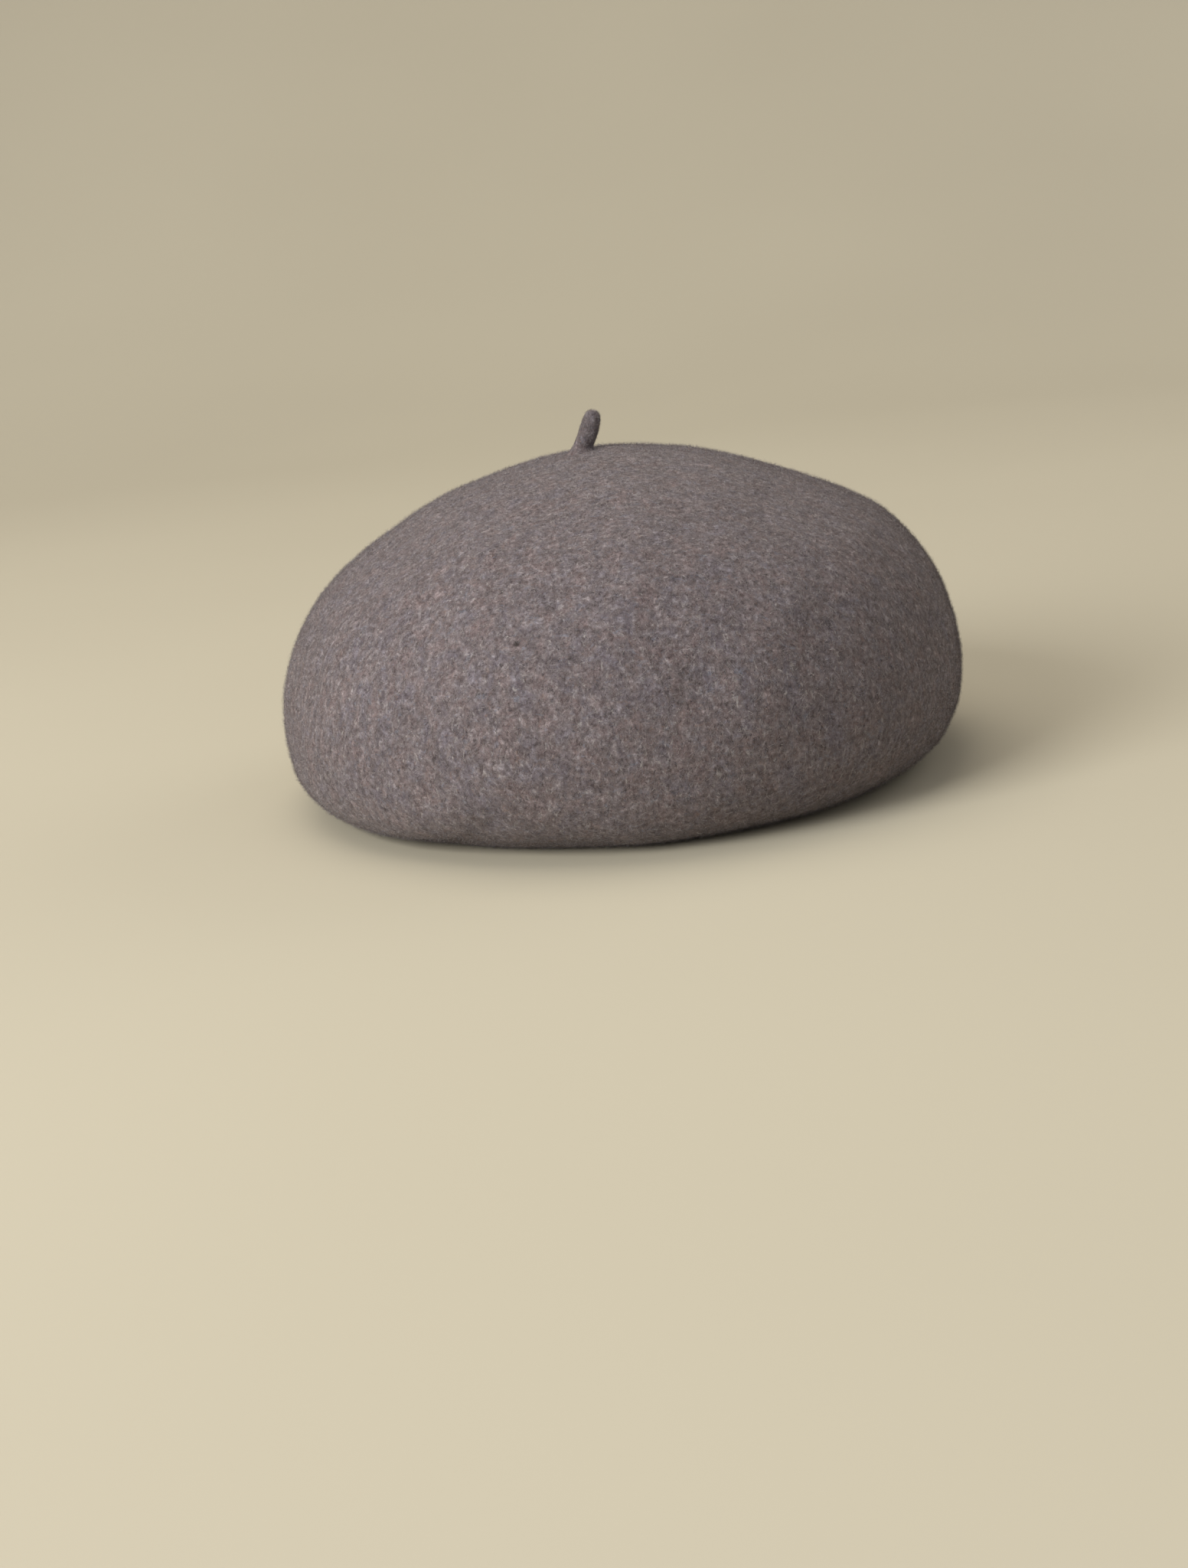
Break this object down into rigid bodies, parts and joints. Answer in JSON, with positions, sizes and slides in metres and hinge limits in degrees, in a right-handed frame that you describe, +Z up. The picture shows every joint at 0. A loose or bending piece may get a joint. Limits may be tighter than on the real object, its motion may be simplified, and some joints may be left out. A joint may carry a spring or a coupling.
{
  "type": "beret",
  "caption": "Blocked wool-felt beret: domed crown turned in at the rim, short felt stalk on top, satin lining and ribbed sweatband inside.",
  "frame": {"origin": "in the plane of the rim's resting ring, below the middle of the crown's width and depth", "axes": "+Z up through the crown towards the stalk, -Y the front of the hat, +Y the back where the sweatband is joined, +X the viewer's right from the front"},
  "size_m": [0.2709, 0.2844, 0.1465],
  "materials": {
    "felt": "matte, brushed wool",
    "lining_satin": "satin sheen",
    "petersham": "ribbed, matte",
    "bow_ribbon": "fine ribbed, satin edge",
    "elastic": "knitted, matte",
    "thread": "matte",
    "label_cloth": "soft, matte",
    "woven_label": "woven, satin",
    "label_thread": "matte"
  },
  "bodies": {
    "hat": {"felt_crown": "felt", "stalk_root": "felt", "stalk_anchor_patch": "felt", "stalk_anchor_stitches": "thread", "lining_tip": "lining_satin", "lining_side": "lining_satin", "lining_edge_stitches": "thread", "sweatband": "petersham", "sweatband_stitches": "thread", "size_elastic": "elastic", "elastic_tacks": "thread", "back_bow": "bow_ribbon", "bow_knot": "bow_ribbon", "bow_tack": "thread", "care_label_strip": "label_cloth", "care_label_stitches": "label_thread", "maker_label": "woven_label", "maker_label_stitches": "label_thread"},
    "stalk": {"stalk": "felt"},
    "label": {"care_label": "label_cloth"}
  },
  "joints": [
    {"name": "stalk_bend", "type": "hinge", "parent": "hat", "child": "stalk", "pos_m": [-0.006, 0, 0.1348], "axis": [0, 1, 0], "range_deg": [-60, 40], "stiffness_Nm_per_rad": 0.002},
    {"name": "label_swing", "type": "hinge", "parent": "hat", "child": "label", "pos_m": [0.03782, 0.08307, 0.02443], "axis": [-0.8901, 0.4558, 0], "range_deg": [0, 100]}
  ]
}
